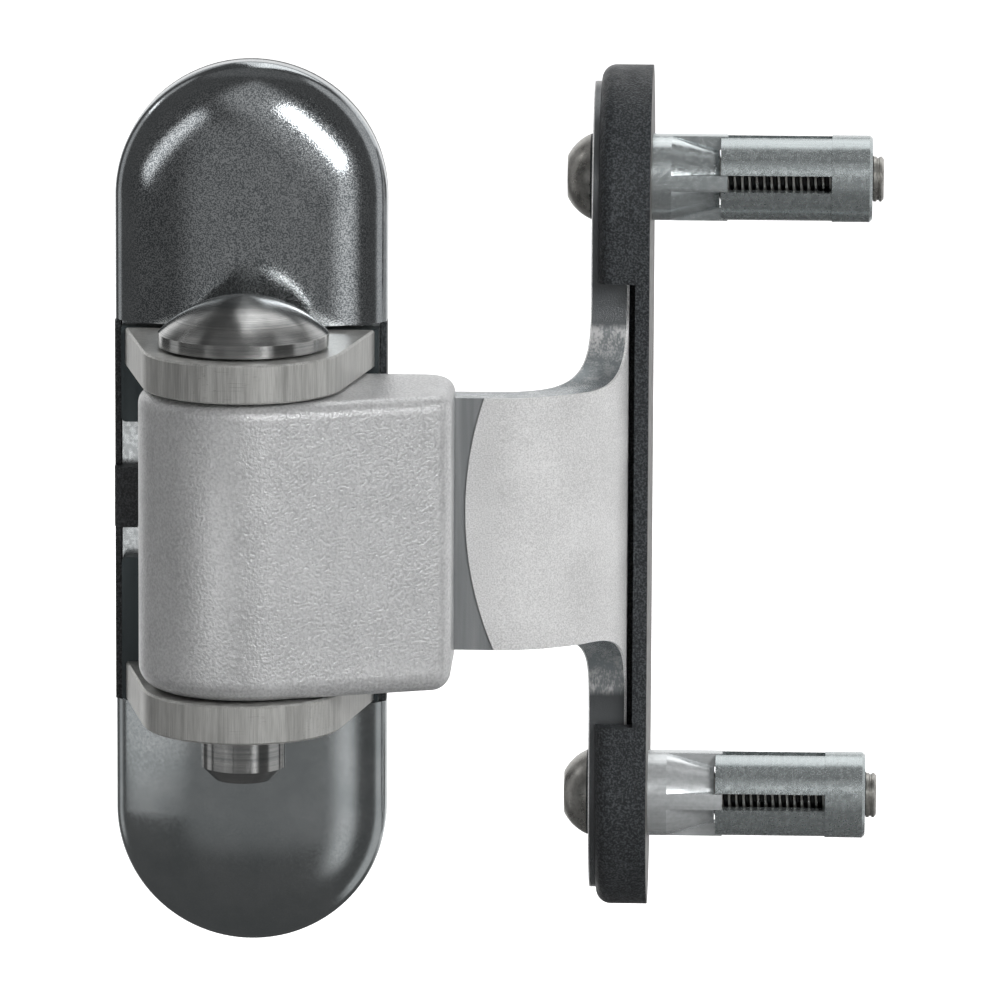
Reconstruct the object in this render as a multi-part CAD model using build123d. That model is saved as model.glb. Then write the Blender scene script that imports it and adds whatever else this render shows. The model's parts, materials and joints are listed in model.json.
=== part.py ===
"""Adjustable door hinge: a post side with two covers, a pin, a knuckle and a clamped leaf plate.

Frame: +X runs from the post to the leaf, +Y into the post, +Z up along the pin.
The origin is the centre of the post pad's back face. Lengths are in millimetres.
"""
from build123d import *
from math import acos, atan2, cos, hypot, radians, sin, sqrt
import os

# Post side: pad, base plate and covers
base_width = 55.0
base_length = 181.2
pad_floor = 1.6
pad_rail_width = 1.2
pad_rail_height = 4.4
rail_end_gap = 0.1
plate_thickness = 3.4
plate_edge_gap = 0.2
cover_sheet = 0.9
cover_skirt = 2.4
cover_crown = 9.2
cover_seat_gap = 0.05
upper_cover_edge_z = 37.95
lower_cover_edge_z = -40.35
post_bolt_spacing = 148.0
post_bolt_hole = 9.0

# Side hooks of the pad, which hold the base plate and guide the bracket
hook_centre_z = 1.9
hook_height = 12.4
hook_reach = 4.7
hook_depth = 3.9
hook_bevel = 1.4
hook_seat_gap = 0.05

# Bracket: one piece with two ears, a waisted web and two slotted feet
bracket_thickness = 4.6
bracket_width = 52.0
bracket_centre_z = -1.35
ear_thickness = 7.8
ear_gap = 61.0
ear_root_width = 50.4
ear_nose_radius = 20.3
ear_nose_lead = 0.9
ear_edge_chamfer = 0.4
waist_top_z = 17.6
waist_bottom_z = -10.3
waist_gap = 0.5
waist_corner = 1.0
foot_width = 29.0
foot_length = 26.0
foot_slot_travel = 5.0
clamp_screw = 8.0
clamp_head = 13.0
clamp_head_height = 4.0
clamp_head_sink = 2.6
clamp_offset = 14.0
clamp_slot_clearance = 0.5
clamp_socket = 5.0
clamp_socket_depth = 2.0

# Pin, bushes and thrust washers
pin_axis_y = -31.0
pin_diameter = 17.0
pin_tail = 11.3
pin_tail_chamfer = 2.7
head_diameter = 34.0
head_seat_diameter = 25.0
head_seat_height = 0.6
head_band = 2.5
head_dome = 7.4
running_clearance = 0.05
bush_wall = 1.5
bush_length = 18.0
washer_width = 5.0
washer_thickness = 0.35

# Knuckle
knuckle_height = 60.2
barrel_radius = 21.0
knuckle_reach = 41.8
knuckle_back_y = -11.0
knuckle_nose_y = -38.5
knuckle_front_corner = 3.5
knuckle_back_corner = 6.0
knuckle_top_edge = 3.0
knuckle_bottom_edge = 4.2

# Leaf plate: tongue, arm, bend and mounting bar
leaf_thickness = 7.8
arm_back_y = -13.5
arm_top_z = 25.25
arm_bottom_z = -26.3
tongue_start_x = 17.0
tongue_clearance = 0.05
tongue_end_gap = 1.0
tongue_milling = 0.3
milling_overrun = 12.0
milling_radius = 73.0
milling_centre_x = 117.0
milling_centre_z = 2.3
bar_face_x = 76.2
bend_radius = 27.3
bar_width = 50.0
bar_length = 168.4
bar_centre_z = -2.43
flare_radius = 18.3
reach_in = 2.0
reach_out = 3.0
tongue_screw = 6.0
tongue_screw_x = 32.0
tongue_screw_spacing = 30.0
tongue_screw_depth = 9.0
tongue_slot_clearance = 0.3
tongue_head = 10.0
tongue_head_height = 2.6
tongue_socket = 4.0
tongue_socket_depth = 1.4

# Leaf pad
leaf_pad_lip = 3.4
leaf_pad_floor = 2.9
leaf_pad_land = 1.2
leaf_pad_land_inset = 4.0
leaf_pad_wall_height = 6.4
leaf_pad_corner = 3.0
upper_wall_start = 47.0
lower_wall_start = 44.8
leaf_pad_fit = 0.05

# Anchors through the leaf
anchor_spacing = 129.3
screw_diameter = 10.0
screw_hole = 10.5
button_diameter = 17.5
button_height = 4.7
button_flat = 8.6
button_socket = 6.0
button_socket_depth = 3.2
button_washer = 0.8
anchor_diameter = 17.8
collar_straight = 3.9
collar_hole_clearance = 0.1
collar_length = 13.7
collar_end_diameter = 12.4
rib_width = 3.3
rib_overlap = 1.4
sleeve_gap = 0.3
sleeve_length = 31.0
sleeve_slot_length = 22.7
sleeve_slot_clearance = 0.1
sleeve_slot_relief = 0.2
sleeve_edge = 0.6
screw_tip = 2.3
screw_tip_chamfer = 0.6

# Derived planes
plate_back_y = -pad_floor
plate_front_y = plate_back_y - plate_thickness
bracket_front_y = plate_front_y - bracket_thickness
ear_top_z = bracket_centre_z + ear_gap / 2 + ear_thickness
ear_bottom_z = bracket_centre_z - ear_gap / 2 - ear_thickness
pin_radius = pin_diameter / 2
knuckle_top_z = bracket_centre_z + knuckle_height / 2
knuckle_bottom_z = bracket_centre_z - knuckle_height / 2
arm_front_y = arm_back_y - leaf_thickness
bar_inner_x = bar_face_x - leaf_thickness
bend_centre_x = bar_face_x - bend_radius
bend_centre_y = arm_front_y + bend_radius
bar_centre_y = bend_centre_y + bar_width / 2
leaf_face_x = bar_face_x + leaf_pad_land + leaf_pad_floor
leaf_pad_lap = leaf_pad_land + leaf_pad_floor + leaf_pad_wall_height
anchor_radius = anchor_diameter / 2
collar_end_x = leaf_face_x + collar_length
sleeve_start_x = collar_end_x + sleeve_gap
sleeve_end_x = sleeve_start_x + sleeve_length
screw_end_x = sleeve_end_x + screw_tip
anchor_heights = [bar_centre_z + side * anchor_spacing / 2 for side in (1, -1)]


def box(x, y, z):
    """A box between the given pairs of limits."""
    size = (x[1] - x[0], y[1] - y[0], z[1] - z[0])
    centre = ((x[0] + x[1]) / 2, (y[0] + y[1]) / 2, (z[0] + z[1]) / 2)
    return Pos(*centre) * Box(*size)


def rod_x(radius, start, end, y, z):
    """A cylinder along X."""
    return Pos((start + end) / 2, y, z) * Rot(0, 90, 0) * Cylinder(radius, end - start)


def rod_y(radius, start, end, x, z):
    """A cylinder along Y."""
    return Pos(x, (start + end) / 2, z) * Rot(90, 0, 0) * Cylinder(radius, end - start)


def rod_z(radius, bottom, top):
    """A cylinder along Z on the pin's axis."""
    return Pos(0, pin_axis_y, (bottom + top) / 2) * Cylinder(radius, top - bottom)


def stadium_y(width, length, back, front, centre_z=0.0):
    """An upright slab with round ends that lies in the XZ plane."""
    outline = SlotOverall(length, width, rotation=90)
    slab = extrude(Plane.XZ.offset(-back) * outline, back - front)
    return Pos(0, 0, centre_z) * slab


def stadium_x(width, length, start, end, centre_y, centre_z):
    """An upright slab with round ends that lies in the YZ plane."""
    outline = SlotOverall(length, width, rotation=90)
    slab = extrude(Plane.YZ.offset(start) * outline, end - start)
    return Pos(0, centre_y, centre_z) * slab


def hexagon_y(across, mouth, depth, x, z):
    """A hexagonal socket that opens towards -Y."""
    outline = RegularPolygon(across / 2, 6, major_radius=False)
    return Pos(x, mouth, z) * extrude(Plane.XZ * outline, -depth)


def dome(radius, crown, skirt, edge_z, outer_z):
    """A crowned half shell form: a skirt and a half ellipse, run up to a round end."""
    low, high = sorted((edge_z, outer_z))
    skirt_y = plate_back_y - skirt
    arc = Ellipse(radius, crown)
    half = arc & Pos(0, -crown) * Rectangle(2 * radius, 2 * crown)
    section = Pos(0, skirt_y) * half + Pos(0, plate_back_y - skirt / 2) * Rectangle(2 * radius, skirt)
    run = Pos(0, 0, low) * extrude(section, high - low)
    quarter = section & Pos(radius, 0) * Rectangle(2 * radius, 6 * crown)
    cap = Pos(0, 0, outer_z) * revolve(quarter, Axis.Y, 360)
    return run + cap


def cover(edge_z, side):
    """A deep drawn cover, open at its back and towards the ears."""
    centre_z = side * (base_length / 2 - base_width / 2)
    outer = dome(base_width / 2, cover_crown, cover_skirt, edge_z, centre_z)
    inner_radius = base_width / 2 - cover_sheet
    inner = dome(inner_radius, cover_crown - cover_sheet, cover_skirt, edge_z, centre_z)
    shell = outer - inner
    reach = side * base_length
    low, high = sorted((edge_z, reach))
    front_y = plate_back_y - cover_skirt - cover_crown - 1
    kept = box((-base_width, base_width), (front_y, plate_back_y - cover_seat_gap), (low, high))
    return shell & kept


def pad_hook(side):
    """One side hook of the pad, from its rail over the base plate's edge, with a bevelled outer corner."""
    half = base_width / 2
    tip_x = half - hook_reach
    front_y = plate_front_y - hook_depth
    inner_x = half - pad_rail_width
    outline = Polyline((half, plate_back_y), (half, front_y + hook_bevel), (half - hook_bevel, front_y),
                       (tip_x, front_y), (tip_x, plate_front_y - hook_seat_gap),
                       (inner_x, plate_front_y - hook_seat_gap), (inner_x, plate_back_y), (half, plate_back_y))
    right = Pos(0, 0, hook_centre_z - hook_height / 2) * extrude(make_face(outline), hook_height)
    return right if side > 0 else right.mirror(Plane.YZ)


def post_pad():
    """The plastic pad behind the base plate, with side rails and hooks between the covers."""
    pad = stadium_y(base_width, base_length, 0, plate_back_y)
    rail_z = (lower_cover_edge_z + rail_end_gap, upper_cover_edge_z - rail_end_gap)
    half = base_width / 2
    for side in (1, -1):
        rail_x = sorted((side * (half - pad_rail_width), side * half))
        pad += box(rail_x, (plate_back_y - pad_rail_height, plate_back_y), rail_z)
        pad += pad_hook(side)
        pad -= rod_y(post_bolt_hole / 2, plate_back_y - 1, 1, 0, side * post_bolt_spacing / 2)
    return pad


def base_plate():
    """The plated steel plate that is bolted to the post."""
    margin = pad_rail_width + plate_edge_gap
    plate = stadium_y(base_width - 2 * margin, base_length - 2 * margin, plate_back_y, plate_front_y)
    for side in (1, -1):
        plate -= rod_y(post_bolt_hole / 2, plate_front_y - 1, 1, 0, side * post_bolt_spacing / 2)
    for height in clamp_heights():
        plate -= rod_y(clamp_screw / 2, plate_front_y - 1, 1, 0, height)
    return plate


def clamp_heights():
    """The heights of the two screws that clamp the bracket to the base plate."""
    return (ear_top_z + clamp_offset, ear_bottom_z - clamp_offset)


def ear_bracket():
    """The bracket that slides on the base plate: a waisted web, two ears and two slotted feet."""
    depth = (bracket_front_y, plate_front_y)
    through = (bracket_front_y - 1, plate_front_y + 1)
    half = bracket_width / 2
    body = box((-half, half), depth, (ear_bottom_z, ear_top_z))
    waist_half = base_width / 2 - hook_reach - waist_gap
    for side in (1, -1):
        notch_x = sorted((side * waist_half, side * (half + 1)))
        body -= box(notch_x, through, (waist_bottom_z, waist_top_z))
    uprights = body.edges().filter_by(Axis.Y).filter_by_position(Axis.Z, waist_bottom_z - 1, waist_top_z + 1)
    outer = [edge for edge in uprights if abs(edge.center().X) > half - 1]
    body = fillet(outer, waist_corner)
    foot_half = foot_width / 2
    body += box((-foot_half, foot_half), depth, (ear_bottom_z - foot_length, ear_top_z + foot_length))
    slot_width = clamp_screw + 2 * clamp_slot_clearance
    pocket_width = clamp_head + 2 * clamp_slot_clearance
    pocket_floor_y = bracket_front_y + clamp_head_sink
    for height in clamp_heights():
        body -= stadium_y(slot_width, slot_width + foot_slot_travel, through[1], through[0], height)
        body -= stadium_y(pocket_width, pocket_width + foot_slot_travel, pocket_floor_y, through[0], height)
    for low in (ear_top_z - ear_thickness, ear_bottom_z):
        body += ear(low)
        body -= rod_z(pin_radius, low - 1, low + ear_thickness + 1)
    return body


def touch_point(corner, centre, radius, side):
    """Where a line from a corner touches a circle: side is 1 or -1, anticlockwise or clockwise."""
    across = corner[0] - centre[0]
    along = corner[1] - centre[1]
    heading = atan2(along, across) + side * acos(radius / hypot(across, along))
    return (centre[0] + radius * cos(heading), centre[1] + radius * sin(heading))


def ear(low):
    """One ear: tapered sides that run tangent into a round nose."""
    root = ear_root_width / 2
    centre = (0, pin_axis_y - ear_nose_lead)
    front = (0, centre[1] - ear_nose_radius)
    right = touch_point((root, bracket_front_y), centre, ear_nose_radius, -1)
    left = (-right[0], right[1])
    sides = Polyline(left, (-root, bracket_front_y), (root, bracket_front_y), right)
    plan = make_face(sides + ThreePointArc(right, front, left))
    body = Pos(0, 0, low) * extrude(plan, ear_thickness)
    rims = body.faces().sort_by(Axis.Z)[0].edges() + body.faces().sort_by(Axis.Z)[-1].edges()
    outer = [edge for edge in rims if edge.center().Y < bracket_front_y - ear_edge_chamfer]
    return chamfer(outer, ear_edge_chamfer)


def clamp_screw_piece(height):
    """A cap screw that clamps the bracket through one of its slots."""
    head_back_y = bracket_front_y + clamp_head_sink
    head_front_y = head_back_y - clamp_head_height
    screw = rod_y(clamp_head / 2, head_front_y, head_back_y, 0, height)
    screw += rod_y(clamp_screw / 2, head_back_y, plate_back_y, 0, height)
    return screw - hexagon_y(clamp_socket, head_front_y, clamp_socket_depth, 0, height)


def crown_arc(rim, top):
    """An arc of a turned profile, centred on the X axis, from its rim to its top."""
    centre = (top[0] ** 2 + top[1] ** 2 - rim[0] ** 2 - rim[1] ** 2) / (2 * (top[0] - rim[0]))
    radius = hypot(rim[0] - centre, rim[1])
    middle = (atan2(rim[1], rim[0] - centre) + atan2(top[1], top[0] - centre)) / 2
    return ThreePointArc(rim, (centre + radius * cos(middle), radius * sin(middle)), top)


def hinge_pin():
    """The pin, turned in one piece, with a domed head on a low seat and a chamfered tail."""
    tail_z = ear_bottom_z - pin_tail
    band_low = ear_top_z + head_seat_height
    band_top = band_low + head_band
    crown_z = band_top + head_dome
    head_radius = head_diameter / 2
    seat_radius = head_seat_diameter / 2
    sides = Polyline((crown_z, 0), (tail_z, 0), (tail_z, pin_radius - pin_tail_chamfer),
                     (tail_z + pin_tail_chamfer, pin_radius), (ear_top_z, pin_radius),
                     (ear_top_z, seat_radius), (band_low, seat_radius), (band_low, head_radius),
                     (band_top, head_radius))
    profile = make_face(sides + crown_arc((band_top, head_radius), (crown_z, 0)))
    return Pos(0, pin_axis_y, 0) * Rot(0, -90, 0) * revolve(profile, Axis.X, 360)


def bush(low):
    """A plain bush pressed into the knuckle."""
    bore = pin_radius + running_clearance
    high = low + bush_length
    return rod_z(bore + bush_wall, low, high) - rod_z(bore, low - 1, high + 1)


def thrust_washer(low):
    """A thin washer between the knuckle and an ear."""
    bore = pin_radius + running_clearance
    high = low + washer_thickness
    return rod_z(bore + washer_width, low, high) - rod_z(bore, low - 1, high + 1)


def knuckle():
    """The cast knuckle: a barrel with a clamp block, a bore for the bushes and a pocket for the tongue."""
    centre = (0, pin_axis_y)
    nose = (knuckle_reach, knuckle_nose_y)
    front = touch_point(nose, centre, barrel_radius, -1)
    back_x = sqrt(barrel_radius ** 2 - (knuckle_back_y - pin_axis_y) ** 2)
    block = Polyline(centre, front, nose, (knuckle_reach, knuckle_back_y), (back_x, knuckle_back_y), centre)
    plan = make_face(block) + Pos(*centre) * Circle(barrel_radius)
    body = Pos(0, 0, knuckle_bottom_z) * extrude(plan, knuckle_height)
    corners = body.edges().filter_by(Axis.Z).filter_by_position(Axis.X, knuckle_reach - 1, knuckle_reach + 1)
    body = fillet(corners.sort_by(Axis.Y)[-1], knuckle_back_corner)
    corners = body.edges().filter_by(Axis.Z).filter_by_position(Axis.X, knuckle_reach - 1, knuckle_reach + 1)
    body = fillet(corners.sort_by(Axis.Y)[0], knuckle_front_corner)
    body = fillet(body.faces().sort_by(Axis.Z)[0].edges(), knuckle_bottom_edge)
    body = fillet(body.faces().sort_by(Axis.Z)[-1].edges(), knuckle_top_edge)
    bush_seat = pin_radius + running_clearance + bush_wall
    body -= rod_z(bush_seat, knuckle_bottom_z - 1, knuckle_top_z + 1)
    pocket_x = (tongue_start_x - reach_in - tongue_end_gap, knuckle_reach + 1)
    pocket_y = (arm_front_y - tongue_clearance, arm_back_y + tongue_clearance)
    body -= box(pocket_x, pocket_y, (arm_bottom_z - tongue_clearance, arm_top_z + tongue_clearance))
    for height in tongue_screw_heights():
        end_y = arm_front_y - tongue_screw_depth
        body -= rod_y(tongue_screw / 2, end_y, knuckle_back_y + 1, tongue_screw_x, height)
    return body


def tongue_screw_heights():
    """The heights of the two screws that clamp the tongue."""
    centre = (arm_top_z + arm_bottom_z) / 2
    return (centre + tongue_screw_spacing / 2, centre - tongue_screw_spacing / 2)


def tongue_screw_piece(height):
    """A cap screw that clamps the tongue from the knuckle's back."""
    head_y = knuckle_back_y + tongue_head_height
    screw = rod_y(tongue_screw / 2, arm_front_y - tongue_screw_depth, knuckle_back_y, tongue_screw_x, height)
    screw += rod_y(tongue_head / 2, knuckle_back_y, head_y, tongue_screw_x, height)
    outline = RegularPolygon(tongue_socket / 2, 6, major_radius=False)
    return screw - Pos(tongue_screw_x, head_y, height) * extrude(Plane.XZ * outline, tongue_socket_depth)


def leaf_sheet():
    """The bent sheet before it is trimmed: a flat tongue and arm, a quarter bend and the bar."""
    inner_radius = bend_radius - leaf_thickness
    diagonal = cos(radians(45))
    far_y = bar_centre_y + bar_width / 2
    outer_middle = (bend_centre_x + bend_radius * diagonal, bend_centre_y - bend_radius * diagonal)
    inner_middle = (bend_centre_x + inner_radius * diagonal, bend_centre_y - inner_radius * diagonal)
    profile = Polyline((bend_centre_x, arm_back_y), (tongue_start_x, arm_back_y),
                       (tongue_start_x, arm_front_y), (bend_centre_x, arm_front_y))
    profile += ThreePointArc((bend_centre_x, arm_front_y), outer_middle, (bar_face_x, bend_centre_y))
    profile += Polyline((bar_face_x, bend_centre_y), (bar_face_x, far_y), (bar_inner_x, far_y),
                        (bar_inner_x, bend_centre_y))
    profile += ThreePointArc((bar_inner_x, bend_centre_y), inner_middle, (bend_centre_x, arm_back_y))
    return Pos(0, 0, bar_centre_z - bar_length / 2) * extrude(make_face(profile), bar_length)


def leaf_outline():
    """The plate's outline seen along X: a bar with round ends, an arm and a round flare in each corner."""
    span = (tongue_start_x - 1, bar_face_x + 1)
    near_y = bar_centre_y - bar_width / 2
    outline = stadium_x(bar_width, bar_length, span[0], span[1], bar_centre_y, bar_centre_z)
    outline += box(span, (arm_front_y - 1, bar_centre_y), (arm_bottom_z, arm_top_z))
    for edge_z, side in ((arm_top_z, 1), (arm_bottom_z, -1)):
        centre_y = near_y - flare_radius
        centre_z = edge_z + side * flare_radius
        corner = box(span, (centre_y, near_y + 1), sorted((edge_z - side, centre_z)))
        outline += corner - rod_x(flare_radius, span[0] - 1, span[1] + 1, centre_y, centre_z)
    return outline


def leaf_plate():
    """The bent T-shaped plate, with its milled tongue, screw slots and anchor holes."""
    plate = leaf_sheet() & leaf_outline()
    milled = box((tongue_start_x - 1, milling_centre_x - milling_radius + milling_overrun),
                 (arm_front_y - 1, arm_front_y + tongue_milling), (arm_bottom_z - 1, arm_top_z + 1))
    milled -= rod_y(milling_radius, arm_front_y - 2, arm_front_y + 2, milling_centre_x, milling_centre_z)
    plate -= milled
    slot = tongue_screw / 2 + tongue_slot_clearance
    ends = (tongue_screw_x - reach_out, tongue_screw_x + reach_in)
    through = (arm_front_y - 1, arm_back_y + 1)
    for height in tongue_screw_heights():
        plate -= box(ends, through, (height - slot, height + slot))
        for end_x in ends:
            plate -= rod_y(slot, through[0], through[1], end_x, height)
    for height in anchor_heights:
        plate -= rod_x(screw_hole / 2, bar_inner_x - 1, bar_face_x + 1, bar_centre_y, height)
    return plate


def leaf_pad():
    """The plastic tray between the bar and the leaf, with raised walls round its two ends."""
    width = bar_width + 2 * leaf_pad_lip
    length = bar_length + 2 * leaf_pad_lip
    low_x = leaf_face_x - leaf_pad_lap
    floor_x = leaf_face_x - leaf_pad_floor
    pad = stadium_x(width, length, low_x, leaf_face_x, bar_centre_y, bar_centre_z)
    pad = fillet(pad.faces().sort_by(Axis.X)[0].edges(), leaf_pad_corner)
    pad -= box((low_x - 1, floor_x), (bar_centre_y - width, bar_centre_y + width),
               (bar_centre_z - lower_wall_start, bar_centre_z + upper_wall_start))
    seat_width = bar_width + 2 * leaf_pad_fit
    seat_length = bar_length + 2 * leaf_pad_fit
    pad -= stadium_x(seat_width, seat_length, low_x - 1, floor_x, bar_centre_y, bar_centre_z)
    land_width = bar_width - 2 * leaf_pad_land_inset
    land_length = bar_length - 2 * leaf_pad_land_inset
    pad += stadium_x(land_width, land_length, bar_face_x, floor_x, bar_centre_y, bar_centre_z)
    for height in anchor_heights:
        pad -= rod_x(anchor_radius + collar_hole_clearance, low_x, leaf_face_x + 1, bar_centre_y, height)
    return pad


def head_washer(height):
    """A thin plastic washer under a button head."""
    start = bar_inner_x - button_washer
    ring = rod_x(button_diameter / 2, start, bar_inner_x, bar_centre_y, height)
    return ring - rod_x(screw_hole / 2, start - 1, bar_inner_x + 1, bar_centre_y, height)


def anchor_screw(height):
    """A button head screw that runs through the bar, the pad, the collar and the sleeve."""
    seat_x = bar_inner_x - button_washer
    top_x = seat_x - button_height
    rim = (seat_x, button_diameter / 2)
    top = (top_x, button_flat / 2)
    shank = screw_diameter / 2
    sides = Polyline(top, (top_x, 0), (screw_end_x, 0), (screw_end_x, shank - screw_tip_chamfer),
                     (screw_end_x - screw_tip_chamfer, shank), (seat_x, shank), rim)
    body = revolve(make_face(sides + crown_arc(rim, top)), Axis.X, 360)
    outline = RegularPolygon(button_socket / 2, 6, major_radius=False)
    body -= extrude(Plane.YZ.offset(top_x) * outline, button_socket_depth)
    return Pos(0, bar_centre_y, height) * body


def wedge_collar(height):
    """A collar that stands on the bar, passes the pad and tapers into the sleeve between four ribs."""
    end_radius = collar_end_diameter / 2
    cone_start = leaf_face_x + collar_straight
    sides = Polyline((bar_face_x, 0), (bar_face_x, anchor_radius), (cone_start, anchor_radius),
                     (collar_end_x, end_radius), (collar_end_x, 0), (bar_face_x, 0))
    body = revolve(make_face(sides), Axis.X, 360)
    rib_end = sleeve_start_x + rib_overlap
    rib_half = rib_width / 2
    ribs = box((cone_start, rib_end), (-rib_half, rib_half), (-anchor_radius, anchor_radius))
    ribs += box((cone_start, rib_end), (-anchor_radius, anchor_radius), (-rib_half, rib_half))
    drum = rod_x(anchor_radius, bar_face_x, rib_end, 0, 0)
    hollow = rod_x(end_radius, collar_end_x, rib_end + 1, 0, 0)
    body += (ribs & drum) - hollow
    body -= rod_x(screw_hole / 2, bar_face_x - 1, collar_end_x + 1, 0, 0)
    return Pos(0, bar_centre_y, height) * body


def expansion_sleeve(height):
    """A round sleeve, a little slimmer over its four slots, with the screw's thread in its far end."""
    body = rod_x(anchor_radius, sleeve_start_x, sleeve_end_x, 0, 0)
    body = chamfer(body.faces().sort_by(Axis.X)[-1].edges(), sleeve_edge)
    slot_end = sleeve_start_x + sleeve_slot_length
    slotted = rod_x(anchor_radius + 1, sleeve_start_x - 1, slot_end, 0, 0)
    body -= slotted - rod_x(anchor_radius - sleeve_slot_relief, sleeve_start_x - 1, slot_end, 0, 0)
    body -= rod_x(screw_hole / 2, sleeve_start_x - 1, slot_end, 0, 0)
    body -= rod_x(screw_diameter / 2, sleeve_start_x - 1, sleeve_end_x + 1, 0, 0)
    width = rib_width / 2 + sleeve_slot_clearance
    slots = box((sleeve_start_x - 1, slot_end), (-width, width), (-anchor_radius - 1, anchor_radius + 1))
    slots += box((sleeve_start_x - 1, slot_end), (-anchor_radius - 1, anchor_radius + 1), (-width, width))
    return Pos(0, bar_centre_y, height) * (body - slots)


def build():
    """Every node by name."""
    nodes = {
        "post_pad": post_pad(),
        "base_plate": base_plate(),
        "upper_cover": cover(upper_cover_edge_z, 1),
        "lower_cover": cover(lower_cover_edge_z, -1),
        "ear_bracket": ear_bracket(),
        "hinge_pin": hinge_pin(),
        "upper_bush": bush(knuckle_top_z - bush_length),
        "lower_bush": bush(knuckle_bottom_z),
        "upper_washer": thrust_washer(knuckle_top_z),
        "lower_washer": thrust_washer(knuckle_bottom_z - washer_thickness),
        "knuckle": knuckle(),
        "leaf_plate": leaf_plate(),
        "leaf_pad": leaf_pad(),
    }
    for name, height in zip(("upper", "lower"), clamp_heights()):
        nodes[f"{name}_clamp_screw"] = clamp_screw_piece(height)
    for name, height in zip(("upper", "lower"), tongue_screw_heights()):
        nodes[f"{name}_tongue_screw"] = tongue_screw_piece(height)
    for name, height in zip(("upper", "lower"), anchor_heights):
        nodes[f"{name}_head_washer"] = head_washer(height)
        nodes[f"{name}_anchor_screw"] = anchor_screw(height)
        nodes[f"{name}_wedge_collar"] = wedge_collar(height)
        nodes[f"{name}_expansion_sleeve"] = expansion_sleeve(height)
    return nodes


os.makedirs("parts", exist_ok=True)
for node, solid in build().items():
    export_step(solid, f"parts/{node}.step")
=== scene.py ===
"""Dresses the adjustable door hinge: finishes, threaded screws, studio and camera around the fixed frame."""
import json
import logging
import math
from dataclasses import dataclass, field
from enum import Enum
from typing import Optional, Sequence, Union

import bpy
from mathutils import Matrix, Vector


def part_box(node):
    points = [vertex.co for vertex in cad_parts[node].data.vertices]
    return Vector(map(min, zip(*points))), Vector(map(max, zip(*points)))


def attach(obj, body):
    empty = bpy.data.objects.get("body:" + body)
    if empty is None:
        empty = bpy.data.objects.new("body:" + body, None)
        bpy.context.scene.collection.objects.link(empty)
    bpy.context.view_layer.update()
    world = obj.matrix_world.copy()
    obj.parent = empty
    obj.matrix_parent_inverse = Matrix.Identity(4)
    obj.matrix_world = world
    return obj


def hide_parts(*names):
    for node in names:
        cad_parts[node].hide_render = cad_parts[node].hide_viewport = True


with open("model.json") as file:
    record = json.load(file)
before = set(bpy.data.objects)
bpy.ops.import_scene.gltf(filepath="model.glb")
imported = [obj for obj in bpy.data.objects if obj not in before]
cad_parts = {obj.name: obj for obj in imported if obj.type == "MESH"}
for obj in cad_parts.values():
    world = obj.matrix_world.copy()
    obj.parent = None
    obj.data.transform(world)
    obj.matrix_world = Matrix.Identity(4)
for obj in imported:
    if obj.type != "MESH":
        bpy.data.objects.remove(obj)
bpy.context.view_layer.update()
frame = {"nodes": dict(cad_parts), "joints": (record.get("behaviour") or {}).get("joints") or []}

MM = 0.001
LOG = logging.getLogger("hinge")
MERGE_GAP = 1e-6
NOISE_BAND = (0.3, 0.7)
MIDDLE = 0.5
Colour = tuple[float, float, float]
Band = tuple[float, float]
Socket = bpy.types.NodeSocket


class Grain(Enum):
    """How a fine pattern is drawn out along the object's axes."""

    EVEN = (1.0, 1.0, 1.0)
    UPRIGHT = (1.0, 1.0, 0.04)
    ALONG_X = (0.04, 1.0, 1.0)
    ALONG_Y = (1.0, 0.04, 1.0)
    AROUND_X = (1.0, 0.06, 0.06)


class Axis(Enum):
    """One of the object's axes."""

    X = 0
    Y = 1
    Z = 2


class Side(Enum):
    """Which of two like pieces, as it stands in the nodes' names."""

    UPPER = "upper"
    LOWER = "lower"


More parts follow.
